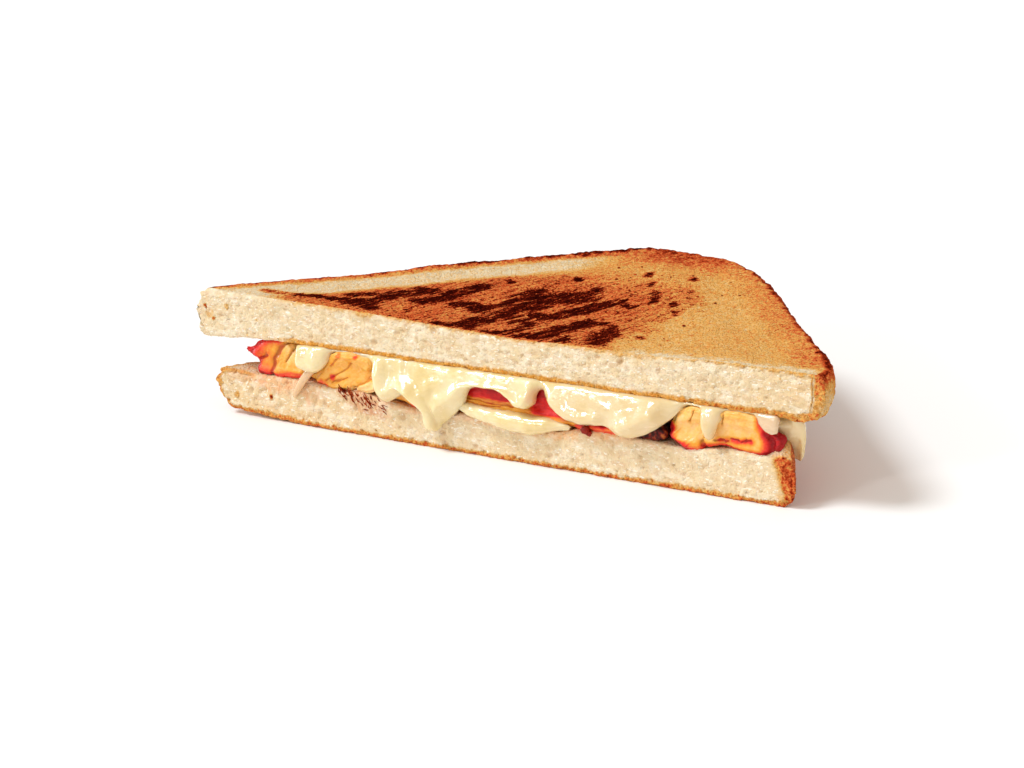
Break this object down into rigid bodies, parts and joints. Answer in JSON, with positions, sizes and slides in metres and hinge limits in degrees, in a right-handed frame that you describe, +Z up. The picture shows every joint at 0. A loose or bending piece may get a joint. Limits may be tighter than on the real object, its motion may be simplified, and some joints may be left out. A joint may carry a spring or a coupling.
{
  "type": "chicken tikka melt",
  "caption": "Toasted sandwich half cut corner to corner, with strips of tikka chicken and melted cheese hanging over the cut face.",
  "frame": {"origin": "centre of the footprint's bounding box, on the flat underside of the lower slice", "axes": "+X along the cut, left to right as the cut face is seen; +Y from the cut to the corner of the bread; +Z up"},
  "size_m": [0.1578, 0.0729, 0.0288],
  "materials": {
    "toasted_bread": "dry toasted white bread, golden with charred streaks on top, pale porous crumb at the cut",
    "melted_cheese": "wet, stringy melted cheese, pale yellow and slightly translucent",
    "tikka_chicken": "moist fibrous chicken, orange at the cut with a red spiced rim",
    "charred_chicken": "burnt, dark red to black"
  },
  "bodies": {
    "root": {"bread_lower": "toasted_bread", "bread_upper": "toasted_bread", "charred_piece": "charred_chicken", "cheese_melt": "melted_cheese", "cheese_puddle": "melted_cheese", "cheese_right": "melted_cheese", "chicken_1": "tikka_chicken", "chicken_2": "tikka_chicken", "chicken_3": "tikka_chicken", "chicken_4": "tikka_chicken", "chicken_5": "tikka_chicken", "chicken_6": "tikka_chicken"}
  },
  "joints": []
}
